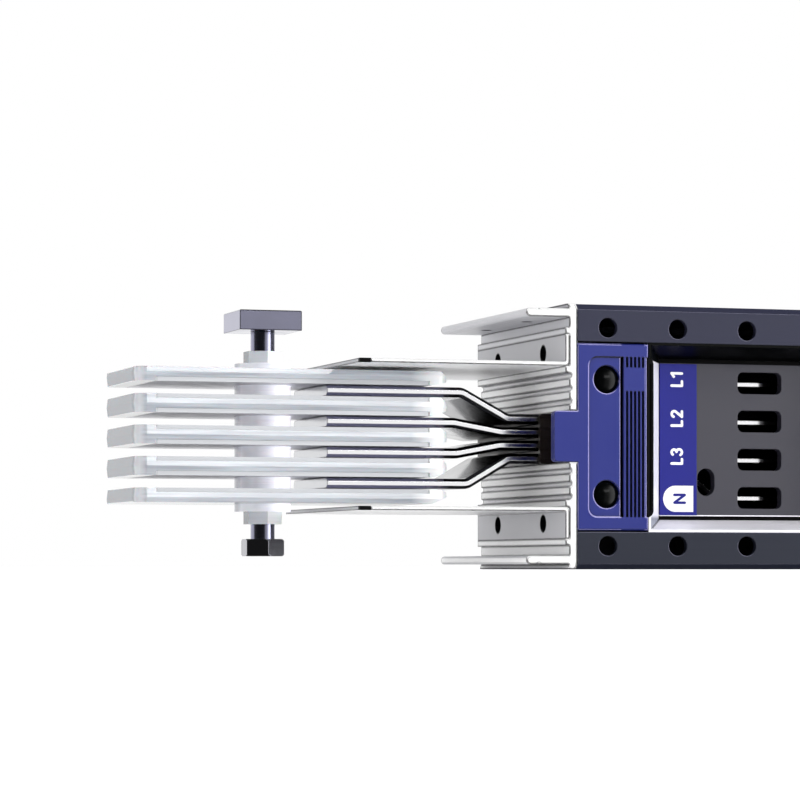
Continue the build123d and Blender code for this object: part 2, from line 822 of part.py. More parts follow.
with BuildPart() as contact_block:
    block(window_mid_x - block_half_width, window_mid_x + block_half_width,
          recess_depth + panel_face, housing_depth, mid_z - block_half_height,
          mid_z + block_half_height)
    block(window_mid_x - face_width / 2, window_mid_x + face_width / 2, recess_depth,
          recess_depth + panel_face, mid_z - face_height / 2, mid_z + face_height / 2)
    with BuildSketch(front_view.offset(-recess_depth)):
        for index in range(slot_count):
            with Locations((outlet_x, bar_level(index, outlet_pitch))):
                RectangleRounded(contact_slot_width, contact_slot_height, contact_slot_radius)
        with Locations((window_mid_x - guide_slot_left, mid_z - guide_slot_below)):
            SlotOverall(guide_slot_height, guide_slot_width, rotation=90)
    extrude(amount=recess_depth - housing_depth, mode=Mode.SUBTRACT)
finish(contact_block, "contact_block")

label_x = window_mid_x - face_width / 2 + label_left
label_height = face_height - 2 * label_margin
with BuildPart() as phase_label:
    block(label_x, label_x + label_width, recess_depth - label_thickness, recess_depth,
          mid_z - label_height / 2, mid_z + label_height / 2)
finish(phase_label, "phase_label")
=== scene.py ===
import json
import math

import bpy
import numpy as np
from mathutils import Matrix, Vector


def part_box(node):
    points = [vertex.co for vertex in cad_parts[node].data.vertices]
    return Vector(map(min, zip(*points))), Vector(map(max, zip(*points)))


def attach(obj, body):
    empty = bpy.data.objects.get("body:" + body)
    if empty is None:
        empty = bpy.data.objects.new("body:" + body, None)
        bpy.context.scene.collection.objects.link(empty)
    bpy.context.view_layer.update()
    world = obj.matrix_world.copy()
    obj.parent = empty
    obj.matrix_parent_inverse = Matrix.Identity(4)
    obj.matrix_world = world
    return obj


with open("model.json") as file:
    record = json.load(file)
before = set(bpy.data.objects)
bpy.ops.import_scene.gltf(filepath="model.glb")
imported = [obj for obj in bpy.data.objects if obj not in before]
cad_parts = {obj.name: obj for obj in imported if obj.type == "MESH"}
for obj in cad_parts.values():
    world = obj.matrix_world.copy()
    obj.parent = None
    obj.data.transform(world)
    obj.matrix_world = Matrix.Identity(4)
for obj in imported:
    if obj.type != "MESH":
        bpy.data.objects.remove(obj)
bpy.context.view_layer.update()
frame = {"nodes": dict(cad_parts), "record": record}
nodes = frame["nodes"]
print("frame loaded:", len(nodes), "nodes")

# Camera, as the photo shows the busway: level with its underside, a little from the left
camera = {
    "place": (-0.7168, -1.5658, 0.0012),    # metres, just above the floor
    "turn": 17.6,        # degrees to the right of straight ahead
    "focal": 147.3,      # mm
    "sensor": 36.0,      # mm wide
    "shiftUp": 0.2087,   # keeps the busway's uprights parallel, as in the photo
    "sees": (0.001, 100.0),     # metres, nearest and farthest
}


def placeCamera(c):
    data = bpy.data.cameras.new("camera")
    data.lens, data.sensor_width = c["focal"], c["sensor"]
    data.shift_y = c["shiftUp"]
    data.clip_start, data.clip_end = c["sees"]
    holder = bpy.data.objects.new("camera", data)
    holder.location = c["place"]
    holder.rotation_euler = (math.radians(90), 0, -math.radians(c["turn"]))
    bpy.context.scene.collection.objects.link(holder)
    bpy.context.scene.camera = holder


placeCamera(camera)
bpy.context.scene.view_settings.view_transform = "Standard"


# Nodes and colours
def hexColour(code):
    # sRGB hex to linear: c / 12.92 below 0.04045, else ((c + 0.055) / 1.055) to the power 2.4
    values = [int(code[i:i + 2], 16) / 255 for i in (1, 3, 5)]
    return (*[v / 12.92 if v <= 0.04045 else ((v + 0.055) / 1.055) ** 2.4 for v in values], 1.0)


def addNode(tree, kind, inputs=None, **settings):
    # one node with its settings; an input is a value, or the socket that feeds it
    node = tree.nodes.new("ShaderNode" + kind)
    for key, value in settings.items():
        setattr(node, key, value)
    for key, value in (inputs or {}).items():
        if isinstance(value, bpy.types.NodeSocket):
            tree.links.new(value, node.inputs[key])
        else:
            node.inputs[key].default_value = value
    return node


def setRamp(node, stops):
    # stops are (place, colour) pairs in rising order
    elements = node.color_ramp.elements
    while len(elements) < len(stops):
        elements.new(0.5)
    for element, (place, colour) in zip(elements, stops):
        element.position, element.color = place, colour


def newMaterial(name, shaderInputs):
    material = bpy.data.materials.new(name)
    material.use_nodes = True
    tree = material.node_tree
    shader = tree.nodes["Principled BSDF"]
    for key, value in shaderInputs.items():
        shader.inputs[key].default_value = value
    return material, tree, shader


def objectPlace(tree, scale=(1, 1, 1)):
    # object coordinates in metres, stretched per axis
    coords = addNode(tree, "TexCoord")
    mapped = addNode(tree, "Mapping", {"Vector": coords.outputs["Object"], "Scale": scale})
    return mapped.outputs["Vector"]


def placeAlong(tree, axis):
    # the place along one axis, in metres
    return addNode(tree, "SeparateXYZ", {0: objectPlace(tree)}).outputs[axis]


def facingAlong(tree, axis):
    # how far the surface faces along one axis, from -1 to 1
    normal = addNode(tree, "TexCoord").outputs["Normal"]
    return addNode(tree, "SeparateXYZ", {0: normal}).outputs[axis]


def noiseAt(tree, sizeMm, stretch=(1, 1, 1), detail=3.0):
    # noise whose blobs measure sizeMm; stretch makes them longer along an axis
    perMetre = 1000.0 / sizeMm
    scale = tuple(perMetre / s for s in stretch)
    return addNode(tree, "TexNoise", {
        "Vector": objectPlace(tree, scale), "Scale": 1.0, "Detail": detail, "Roughness": 0.5,
    }).outputs["Fac"]


def between(tree, value, low, high, newLow=0.0, newHigh=1.0):
    # value from low..high to newLow..newHigh, held at the ends
    return addNode(tree, "MapRange", {
        "Value": value, "From Min": low, "From Max": high, "To Min": newLow, "To Max": newHigh,
    }).outputs["Result"]


def spread(tree, noise, newLow=0.0, newHigh=1.0):
    # a noise drawn out over the whole range: nearly all of it lies between 0.3 and 0.7
    return between(tree, noise, 0.3, 0.7, newLow, newHigh)


def both(tree, first, second):
    # the share of the surface where two shares hold together: first times second
    return addNode(tree, "Math", {0: first, 1: second}, operation="MULTIPLY").outputs[0]


def layered(tree, colour, *layers):
    # a colour under layers of (share, colour), each over the ones before it by its share; a
    # colour is a hex code, or the socket that gives it
    for share, over in layers:
        pair = [hexColour(tone) if isinstance(tone, str) else tone for tone in (colour, over)]
        colour = addNode(tree, "Mix", {0: share, 6: pair[0], 7: pair[1]},
                         data_type="RGBA").outputs[2]
    return colour


def facingShare(tree, axis, low=0.75, high=0.95):
    # 1 where the surface faces along the axis either way, 0 elsewhere
    size = addNode(tree, "Math", {0: facingAlong(tree, axis)}, operation="ABSOLUTE")
    return between(tree, size.outputs[0], low, high)


def roundedNormal(tree, radiusMm):
    # sharp edges catch light as if rounded by this radius
    return addNode(tree, "Bevel", {"Radius": radiusMm / 1000}, samples=6).outputs["Normal"]


edgeShadeReach = {
    "broad": (0.9999, 0.9985),      # cosine of the rounded normal's lean, from where a line
    "fine": (0.99, 0.94),           # starts to where it is full
    "washedOut": 0.35,              # what is left of a front face's line on its upper edges
}


def edgeShadeLines(tree, radiusMm, c=edgeShadeReach):
    # 1 along the edges, where painted shade lines go, by how far the rounded normal leans from
    # the plain one. Lines are broad on front faces, fine elsewhere, and weak on a front face's
    # upper edges, which the light washes out
    plain = addNode(tree, "NewGeometry").outputs["Normal"]
    rounded = roundedNormal(tree, radiusMm)
    lean = addNode(tree, "VectorMath", {0: rounded, 1: plain},
                   operation="DOT_PRODUCT").outputs["Value"]
    forward = addNode(tree, "SeparateXYZ", {0: plain}).outputs["Y"]     # -1 faces the camera
    upward = addNode(tree, "SeparateXYZ", {0: rounded}).outputs["Z"]
    front = between(tree, forward, -0.5, -0.9)
    upper = between(tree, upward, 0.02, 0.15)
    weaker = between(tree, both(tree, front, upper), 0, 1, 1, c["washedOut"])
    broad = both(tree, between(tree, lean, *c["broad"]), weaker)
    fine = between(tree, lean, *c["fine"])
    return addNode(tree, "Mix", {0: front, 2: fine, 3: broad}).outputs[0]


edgeGlint = {
    "light": (0.6, 0.0, 0.8),   # the way to the light, at the upper right
    "leanFull": 0.25,           # an edge's lean to the light that counts as wholly turned
    "reach": (0.1, 0.7),        # share of that lean where a glint starts and where it is full
}


def edgeGlints(tree, radiusMm, c=edgeGlint):
    # two shares: the edges that turn to the light, and those that turn away from it. The turn is
    # (rounded normal - plain normal) . light
    plain = addNode(tree, "NewGeometry").outputs["Normal"]
    lean = addNode(tree, "VectorMath", {0: roundedNormal(tree, radiusMm), 1: plain},
                   operation="SUBTRACT").outputs["Vector"]
    turn = addNode(tree, "VectorMath", {0: lean, 1: c["light"]},
                   operation="DOT_PRODUCT").outputs["Value"]
    full, (start, end) = c["leanFull"], c["reach"]
    return (between(tree, turn, start * full, end * full),
            between(tree, turn, -start * full, -end * full))


# Round places that lie alike about x = 0, y = 0 and the casing's mid-height: axes across the
# bore, the middle of one of them in metres from there, and its radius
casingMidHeight = (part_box("front_side_channel")[0].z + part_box("front_side_channel")[1].z) / 2
legBores = {"across": (0, 1, 1), "middle": (0, 0.034, 0.04225), "radiusMm": 4.3}
flangeBores = {"across": (1, 1, 0), "middle": (0.1636, 0.0305, 0), "radiusMm": 2.55}
boltBosses = {"across": (1, 1, 0), "middle": (0.2915, 0, 0), "radiusMm": 14.03}
boreFadeMm = 0.02       # a bore's share falls off over this


def boreShare(tree, across, middle, radiusMm):
    # 1 inside the bores, by the distance from their axis: the place is folded onto one bore,
    # |(|place|) - middle|, and only the axes across it count
    place = addNode(tree, "VectorMath", {
        0: addNode(tree, "TexCoord").outputs["Object"], 1: (0, 0, casingMidHeight),
    }, operation="SUBTRACT").outputs[0]
    folded = addNode(tree, "VectorMath", {0: place}, operation="ABSOLUTE").outputs[0]
    offset = addNode(tree, "VectorMath", {0: folded, 1: middle}, operation="SUBTRACT").outputs[0]
    flat = addNode(tree, "VectorMath", {0: offset, 1: across}, operation="MULTIPLY").outputs[0]
    away = addNode(tree, "VectorMath", {0: flat}, operation="LENGTH").outputs["Value"]
    return between(tree, away, (radiusMm + boreFadeMm) / 1000, radiusMm / 1000)


def dress(tree, shader, colour, pattern=None, rough=None):
    # the surface's colour, and a roughness that follows the pattern
    tree.links.new(colour, shader.inputs["Base Color"])
    if pattern is not None:
        tree.links.new(spread(tree, pattern, *rough), shader.inputs["Roughness"])


def bumpOn(tree, shader, height, depthMm, strength, edgeMm=0.3):
    bump = addNode(tree, "Bump", {
        "Height": height, "Distance": depthMm / 1000, "Strength": strength,
        "Normal": roundedNormal(tree, edgeMm),
    })
    tree.links.new(bump.outputs["Normal"], shader.inputs["Normal"])


# Materials, each from the real material and how its surface was made
def bareAluminium(tree, tone, paintedSideTone, lineMm, boreSets):
    # painted light and shade: bright where cut across and greyer on the sides, by which way a
    # face looks, and painted shade along the broken edges and in the bores
    boreShade = [(boreShare(tree, **boreSet), "#0C0C0E") for boreSet in boreSets]
    return layered(tree, tone, (facingShare(tree, "X"), paintedSideTone),
                   (facingShare(tree, "Y"), "#FFFFFF"), (edgeShadeLines(tree, lineMm), "#08080A"),
                   *boreShade)


profileSideShade = (0.1, 0.12)      # metres above the floor, between which the sides turn greyer: painted shade


def extrudedAluminium():
    # bare aluminium profile: faint die lines along the extrusion; the saw-cut ends are painted
    # bright, a painted light
    material, tree, shader = newMaterial("extrudedAluminium", {
        "Metallic": 0.15, "Specular IOR Level": 0.12})
    lines = noiseAt(tree, 0.5, (1, 160, 1), detail=4)
    drawn = layered(tree, "#D2D2D6", (spread(tree, lines), "#C8C8CC"))
    # painted shade: the profile's sides are painted greyer higher up
    upper = between(tree, placeAlong(tree, "Z"), *profileSideShade)
    side = layered(tree, "#FFFFFF", (upper, "#D0D0D4"))
    dress(tree, shader, bareAluminium(tree, drawn, side, 1.6, (legBores, flangeBores)),
          lines, (0.34, 0.44))
    bumpOn(tree, shader, lines, 0.01, 0.2, edgeMm=0.15)
    return material


def foldedSheet():
    # rolled aluminium sheet, folded and sheared: long soft rolling grain; the sheared edges are
    # painted bright and the sides greyer, painted light and shade
    material, tree, shader = newMaterial("foldedAluminiumSheet", {
        "Metallic": 0.15, "Specular IOR Level": 0.12})
    grain = noiseAt(tree, 0.6, (90, 1, 90))
    rolled = layered(tree, "#FFFFFF", (spread(tree, grain), "#F8F8FA"))
    dress(tree, shader, bareAluminium(tree, rolled, "#BABABE", 1.2, (legBores,)),
          grain, (0.30, 0.38))
    bumpOn(tree, shader, grain, 0.004, 0.2, edgeMm=0.15)
    return material


barFade = {     # metres left of the holder, over which the painted reflection goes from light to dark
    "flat": (0.055, 0.012),
    "bevel": (0.058, 0.046),
}


def tinnedBar(c=barFade):
    # tin-plated bar with a painted reflection: the rolled edge is painted bright between
    # dark-painted bevels, and the flat sides are painted from grey to black near the holder, whose
    # dark they mirror
    material, tree, shader = newMaterial("tinPlatedBar", {"Metallic": 1.0})
    streaks = noiseAt(tree, 0.6, (120, 1, 1), detail=4)
    clouds = noiseAt(tree, 14, detail=2)
    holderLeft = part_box("bar_holder")[0].x
    nearFlat, nearBevel = [
        between(tree, placeAlong(tree, "X"), *[holderLeft - away for away in c[part]])
        for part in ("flat", "bevel")]
    bevel = layered(tree, "#9C9CB2", (nearBevel, "#2C2C30"))
    tone = layered(tree, "#A8A9AC", (nearFlat, "#101012"),
                   (facingShare(tree, "Y", 0.2, 0.4), bevel),
                   (facingShare(tree, "Y", 0.8, 0.95), "#F6F6F8"))
    dress(tree, shader, tone, clouds, (0.10, 0.18))
    bumpOn(tree, shader, streaks, 0.006, 0.3, edgeMm=0.6)
    return material


def splicePlate():
    # tin-plated splice plate, satin from plating; its front and back edges are painted greyer,
    # a painted shade
    material, tree, shader = newMaterial("tinPlatedSplice", {"Metallic": 0.35})
    clouds = noiseAt(tree, 9)
    tone = layered(tree, "#E0E0E4", (clouds, "#ECECF0"), (facingShare(tree, "Y"), "#C4C6CA"))
    dress(tree, shader, tone, clouds, (0.29, 0.42))
    return material


plateLightAndShade = (      # painted light and shade by facing: the axis that a face looks along, where the tone starts and is full, the tone
    ("Z", 0.8, 0.95, "#D6DADE"),        # top faces
    ("X", -0.1, -0.6, "#D4D7DC"),       # the noses' rounded left sides
    ("X", -0.9, -0.995, "#6C7179"),     # flat left ends
    ("Z", -0.8, -0.95, "#6E7074"),      # undersides
)
plateEndLight = (0.02, 0.004)        # metres from the right end, painted white there: painted light, as if shining through
bossGlow = {                    # painted glow in the bosses, more on the right, standing in for light through the plates
    "reach": (-0.298, -0.287),      # metres along the busway
    "strength": (0.3, 1.0),
    "colour": "#F0F0FA",
}


def mouldedPolyester(name, dark, light, rightLitTone, glow=None):
    # milky glass-filled polyester, moulded smooth: bright, glossy, faintly see-through,
    # with glass fibres drawn out along the flow. The tones by facing, the white right end and the
    # glow in the bosses are painted light and shade
    material, tree, shader = newMaterial(name, {
        "IOR": 1.52, "Coat Weight": 0.8, "Coat IOR": 1.7, "Coat Roughness": 0.06,
        "Specular IOR Level": 0.0,
        "Subsurface Weight": 0.3, "Subsurface Scale": 0.004,
    })
    flow = noiseAt(tree, 1.6, (30, 12, 1), detail=5)
    # painted light and shade by which way each face looks
    faces = [(between(tree, facingAlong(tree, axis), start, full), tone)
             for axis, start, full, tone in plateLightAndShade]
    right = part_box("insulator_plate_1")[1].x
    endLight = between(tree, placeAlong(tree, "X"), *[right - away for away in plateEndLight])
    tone = layered(tree, dark, (between(tree, flow, 0.35, 0.65), light), *faces,
                   (endLight, "#FFFFFF"),
                   (between(tree, facingAlong(tree, "X"), 0.3, 0.6), rightLitTone))
    if glow:
        strength = between(tree, placeAlong(tree, "X"), *glow["reach"], *glow["strength"])
        tree.links.new(both(tree, boreShare(tree, **boltBosses), strength),
                       shader.inputs["Emission Strength"])
        shader.inputs["Emission Color"].default_value = hexColour(glow["colour"])
    dress(tree, shader, tone, flow, (0.14, 0.26))
    bumpOn(tree, shader, flow, 0.06, 0.35, edgeMm=0.5)
    return material


def groundSteel():
    # ground and clear-zinc steel: cool grey, fine grinding marks, and painted shade along the
    # edges
    material, tree, shader = newMaterial("groundSteel", {"Metallic": 1.0})
    marks = noiseAt(tree, 0.35, (40, 40, 1), detail=4)
    tone = layered(tree, "#7E7E8E", (noiseAt(tree, 12), "#86869A"),
                   (edgeShadeLines(tree, 0.7), "#1A1A22"))
    dress(tree, shader, tone, marks, (0.12, 0.2))
    bumpOn(tree, shader, marks, 0.004, 0.3, edgeMm=0.7)
    return material


def blackOxideSteel():
    # black oxide on a forged nut: near black, oily sheen
    material, tree, shader = newMaterial("blackOxideSteel", {"Metallic": 1.0})
    pits = noiseAt(tree, 0.7, detail=5)
    dress(tree, shader, layered(tree, "#7A7A80", (pits, "#8A8A90")), pits, (0.08, 0.14))
    bumpOn(tree, shader, pits, 0.004, 0.25, edgeMm=0.4)
    return material


casingLowShade = (0.02, 0.11)       # metres above the floor, between which the casing turns lighter: painted shade, darker towards the floor


def darkAnodised():
    # dark anodised aluminium extrusion: matt, cool grey, faint lines along the casing; painted
    # shade low down, a painted highlight on edges towards the light and painted shade on edges
    # away
    material, tree, shader = newMaterial("darkAnodisedAluminium", {"Specular IOR Level": 0.25})
    lines = noiseAt(tree, 0.6, (200, 1, 1), detail=4)
    upper = layered(tree, "#25273A", (lines, "#2B2C41"))
    lit, shaded = edgeGlints(tree, 0.45)
    tone = layered(tree, "#1E2230", (between(tree, placeAlong(tree, "Z"), *casingLowShade), upper),
                   (lit, "#747488"), (shaded, "#020204"))
    dress(tree, shader, tone, lines, (0.42, 0.55))
    bumpOn(tree, shader, lines, 0.01, 0.3, edgeMm=0.4)
    return material


gripZone = {    # metres from the window's middle
    "ends": (0.0624, 0.0742),       # of the bezels' grip grooves
    "fade": 0.0004,
}


def outsideGrip(tree, c=gripZone):
    # 0 among the bezels' grip grooves, 1 elsewhere, by |x - the window's middle|
    windowMid = sum(corner.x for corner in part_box("upper_window_liner")) / 2
    offset = addNode(tree, "Math", {0: placeAlong(tree, "X"), 1: windowMid},
                     operation="SUBTRACT").outputs[0]
    away = addNode(tree, "Math", {0: offset}, operation="ABSOLUTE").outputs[0]
    low, high = c["ends"]
    return addNode(tree, "Math", {0: between(tree, away, low, low - c["fade"]),
                                  1: between(tree, away, high, high + c["fade"])},
                   operation="MAXIMUM").outputs[0]


grooveShade = {
    "around": 0.003,            # metres around a point that count
    "openness": (0.85, 0.45),   # how open it is there, from where the shade starts to full black
}


def moulded(name, dark, light, rough, grainMm, depthMm, edgeMm, glint=None, **shaderInputs):
    # moulded plastic or rubber: a fine spark-eroded grain over soft colour clouds; edges
    # towards the light take the glint's colour, a painted highlight, and those away from it and
    # grooves go black, painted shade
    material, tree, shader = newMaterial(name, {
        key.replace("_", " "): value for key, value in shaderInputs.items()
    })
    clouds = noiseAt(tree, 18, detail=2)
    tone = layered(tree, dark, (clouds, light))
    if glint:
        openness = addNode(tree, "AmbientOcclusion", {"Distance": grooveShade["around"]},
                           samples=6, only_local=True).outputs["AO"]
        lit, shaded = edgeGlints(tree, 0.8)
        tone = layered(tree, tone, (between(tree, openness, *grooveShade["openness"]), "#020206"),
                       (both(tree, lit, outsideGrip(tree)), glint), (shaded, "#030306"))
    dress(tree, shader, tone, clouds, rough)
    bumpOn(tree, shader, noiseAt(tree, grainMm), depthMm, 0.4, edgeMm=edgeMm)
    return material


linerCorner = {     # metres
    "below": 0.002, "left": 0.0005,     # past the label's lower left corner, where it is full
    "behind": (0.002, 0.003),           # behind the front edge, where the dark line starts
}


def linerMetal(c=linerCorner):
    # pressed and polished aluminium liner: bright, with a lavender cast painted in as a
    # painted reflection of the blue bezel
    material, tree, shader = newMaterial("polishedLiner", {"Metallic": 0.1})
    wipe = noiseAt(tree, 3, (1, 1, 8))
    # below the label the left wall is in the bezel's shade, and its corner shows as a dark line
    label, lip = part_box("phase_label")[0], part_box("lower_window_liner")[0].y
    corner = both(tree, between(tree, placeAlong(tree, "Z"), label.z, label.z - c["below"]),
                  between(tree, placeAlong(tree, "X"), label.x, label.x - c["left"]))
    deep = between(tree, placeAlong(tree, "Y"), *[lip + away for away in c["behind"]])
    wall = both(tree, corner, between(tree, facingAlong(tree, "X"), 0.2, 0.4))
    line = both(tree, both(tree, corner, deep), edgeShadeLines(tree, 1.6))
    tone = layered(tree, "#F0EEF8", (wipe, "#FCFBFF"), (wall, "#8E92A0"), (line, "#08080A"))
    dress(tree, shader, tone, wipe, (0.29, 0.42))
    return material


def laminateBoard():
    # pressed laminate board: warm brown with long fibres
    material, tree, shader = newMaterial("laminateBoard", {"Specular IOR Level": 0.4})
    fibres = noiseAt(tree, 0.5, (1, 30, 1), detail=5)
    dress(tree, shader, layered(tree, "#6E5638", (fibres, "#A58559")), fibres, (0.45, 0.65))
    bumpOn(tree, shader, fibres, 0.03, 0.4)
    return material


def printedFilm():
    # printed polyester film: flat ink with a slight orange peel
    material, tree, shader = newMaterial("printedBlueFilm", {"Specular IOR Level": 0.25})
    peel = noiseAt(tree, 1.6, detail=2)
    dress(tree, shader, layered(tree, "#12167A", (noiseAt(tree, 20), "#161A80")),
          peel, (0.35, 0.45))
    bumpOn(tree, shader, peel, 0.01, 0.2, edgeMm=0.1)
    return material


def printedWhite():
    # white screen ink
    material, tree, shader = newMaterial("whiteScreenInk", {"Roughness": 0.5})
    dress(tree, shader, layered(tree, "#F4F4F8", (noiseAt(tree, 0.8), "#FFFFFF")))
    bumpOn(tree, shader, noiseAt(tree, 0.3), 0.004, 0.3, edgeMm=0.05)
    return material


# Moulded finishes: dark and light colour, roughness, and in mm the grain's size and depth and
# the edges' rounding
# the bezel's glint colour is a painted highlight on its edges towards the light
blueAbs = moulded("mouldedBlueAbs", "#1A2474", "#1E2878", (0.3, 0.4), 0.35, 0.012, 0.35,
                  glint="#B4B0E8", Specular_IOR_Level=0.3)
blackRubber = moulded("blackRubber", "#040405", "#0A090A", (0.45, 0.6), 0.5, 0.02, 0.4,
                      Specular_IOR_Level=0.06)
blackPlug = moulded("blackDomedPlug", "#030404", "#050607", (0.12, 0.18), 0.4, 0.004, 0.3,
                    Specular_IOR_Level=0.08)
# the window's upper liner is painted black: painted shade, as its slope lies in shade
hoodShade = moulded("hoodShadeBlackAbs", "#020303", "#040505", (0.35, 0.45), 0.4, 0.008, 0.3,
                    Specular_IOR_Level=0.06)
greyHousing = moulded("greyGlassNylon", "#34343F", "#454552", (0.45, 0.6), 0.4, 0.02, 0.3)
greyContact = moulded("greyContactBlock", "#2A2934", "#302F3C", (0.4, 0.5), 0.4, 0.015, 0.3)
brownHolder = moulded("brownMouldedHolder", "#1D1715", "#2B2320", (0.35, 0.5), 0.4, 0.02, 0.3)
# zinc plate has the same soft clouds and fine grain
zincScrew = moulded("zincPlatedScrew", "#9C9CA4", "#B8B8C0", (0.29, 0.42), 0.5, 0.01, 0.15,
                    Metallic=1.0)

materialsBySlot = {
    "steel_head": groundSteel(), "steel_nut": blackOxideSteel(),
    "sleeve": mouldedPolyester("mouldedSleeve", "#C4C8D0", "#E4E7EC", "#FFFFFF"),
    "insulator": mouldedPolyester("mouldedPolyester", "#989DA5", "#B6BBC2", "#F4F6F8", bossGlow),
    "splice": splicePlate(), "bar": tinnedBar(), "holder": brownHolder,
    "board": laminateBoard(), "profile": extrudedAluminium(), "sheet": foldedSheet(),
    "casing": darkAnodised(), "screw": zincScrew, "bezel": blueAbs, "rubber": blackRubber,
    "plug": blackPlug, "hood": hoodShade, "liner": linerMetal(), "housing": greyHousing,
    "contact": greyContact, "label": printedFilm(),
}
slotOfNode = {row["node"]: row["material_slot"] for row in frame["record"]["subparts"]}
for name, piece in nodes.items():
    piece.data.materials.clear()
    piece.data.materials.append(materialsBySlot[slotOfNode[name]])
print("materials:", len(set(materialsBySlot.values())))

# Label lettering: generic conductor marks, turned to read upwards
labelMarks = {
    "words": (("L1", 68.0), ("L2", 48.5), ("L3", 29.5), ("N", 8.25)),   # mm above the label's foot
    "letterHeight": 5.6,    # mm, along the strokes' middles
    "stroke": 1.3,          # mm
    "gap": 2.3,             # mm between the middles of neighbouring strokes
    "across": 9.1, "acrossN": 10.6,         # mm from the label's left edge to the text's middle
    "badgeLow": 1.7, "badgeHigh": 14.8,     # mm above the label's foot
    "badgeLeft": 1.8, "badgeRight": 18.0,   # mm from the label's left edge
    "ink": 0.15,            # mm thick
    "inkStep": 0.002,       # mm from each stroke's front to the next, so that no two lie level
}


def arcPoints(middle, radius, start, end, count=9):
    # middle + radius * (cos a, sin a), with a in degrees anticlockwise from the right
    angle = np.radians(np.linspace(start, end, count))
    return np.stack([middle[0] + radius * np.cos(angle), middle[1] + radius * np.sin(angle)], 1)


def letterStrokes():
    # strokes of each letter and its width, in letter heights
    two = np.vstack([arcPoints((0.24, 0.74), 0.25, 165, -35), [[0.0, 0.0], [0.48, 0.0]]])
    three = np.vstack([arcPoints((0.21, 0.76), 0.24, 150, -80),
                       arcPoints((0.21, 0.27), 0.27, 80, -150)])
    return {
        "L": ([[(0, 1), (0, 0), (0.39, 0)]], 0.39),
        "1": ([[(0, 0.78), (0.30, 1), (0.30, 0)]], 0.30),
        "2": ([two], 0.48),
        "3": ([three], 0.48),
        "N": ([[(0, 0), (0, 1), (0.70, 0), (0.70, 1)]], 0.70),
    }


def strokeOutlines(line, width):
    # straight bars along the line, its ways turned by 90 degrees giving their sides, with a
    # round of 16 points at each of the line's points
    points = np.array(line, float)
    rounds = [point + arcPoints((0, 0), width / 2, 0, 337.5, 16) for point in points]
    ways = np.diff(points, axis=0)
    ways /= np.linalg.norm(ways, axis=1)[:, None]
    sides = np.stack([-ways[:, 1], ways[:, 0]], 1) * width / 2
    bars = [np.array([a - s, b - s, b + s, a + s])
            for a, b, s in zip(points[:-1], points[1:], sides)]
    return rounds + bars


def inkPiece(name, outlines, front, back, material):
    # thin prisms over outlines in x and z, anticlockwise as seen from the front
    points, faces, first = [], [], 0
    fronts = front + labelMarks["inkStep"] / 1000 * np.arange(len(outlines))
    for outline, near in zip(outlines, fronts):
        ring = np.arange(len(outline)) + first
        behind, following = ring + len(outline), np.roll(ring, -1)
        faces += [ring.tolist(), behind[::-1].tolist()]
        faces += np.stack([ring, behind, np.roll(behind, -1), following], 1).tolist()
        points += [np.insert(outline, 1, near, 1), np.insert(outline, 1, back, 1)]
        first += 2 * len(outline)
    mesh = bpy.data.meshes.new(name)
    mesh.from_pydata(np.vstack(points).tolist(), [], faces)
    mesh.materials.append(material)
    piece = bpy.data.objects.new(name, mesh)
    bpy.context.scene.collection.objects.link(piece)
    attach(piece, "root")


def wordOutlines(word, c, x, z):
    # the word's outlines, centred on x and z; text runs up (+Z), letter tops point left (-X)
    strokes, along = [], 0.0
    for letter in word:
        lines, width = letterStrokes()[letter]
        strokes += [np.array(line, float) * c["letterHeight"] + (along, 0) for line in lines]
        along += width * c["letterHeight"] + c["gap"]
    length = along - c["gap"]
    turned = [np.stack([c["letterHeight"] / 2 - line[:, 1], line[:, 0] - length / 2], 1)
              for line in strokes]
    return [outline / 1000 + (x, z) for line in turned
            for outline in strokeOutlines(line, c["stroke"])]


def makeLabelMarks(c):
    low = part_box("phase_label")[0]
    ink, white = c["ink"] / 1000, printedWhite()
    left, right, foot, top = [c[side] / 1000 for side in (
        "badgeLeft", "badgeRight", "badgeLow", "badgeHigh")]
    half = (top - foot) / 2     # the badge is a rectangle whose left end is half round
    badge = np.vstack([arcPoints((left + half, foot + half), half, 90, 270, 25),
                       [[right, foot], [right, top]]]) + (low.x, low.z)
    inkPiece("mark_badge", [badge], low.y - ink, low.y, white)
    for word, height in c["words"]:
        onBadge = word == "N"
        x = low.x + (c["acrossN"] if onBadge else c["across"]) / 1000
        front = low.y - (2 if onBadge else 1) * ink
        inkPiece("mark_" + word.lower(), wordOutlines(word, c, x, low.z + height / 1000),
                 front, front + ink, materialsBySlot["label"] if onBadge else white)


makeLabelMarks(labelMarks)
print("label marks made")

# Black strips on the floor of the gaps above and below the contact panel, painted shade in
# the gaps, and a bright strip on the panel's lower edge, a painted highlight
gapShadeStrips = {
    "gap": 2.0,             # mm, height and depth of the gap beside the panel
    "border": (0.2, 0.4),   # mm of panel left of the label, and above and below it
    "thick": 0.4,           # mm of the shade strips, on the gap's floor, and of the highlight strip in the panel
    "highlightHeight": 0.55, "highlightProud": 0.2,     # mm
}


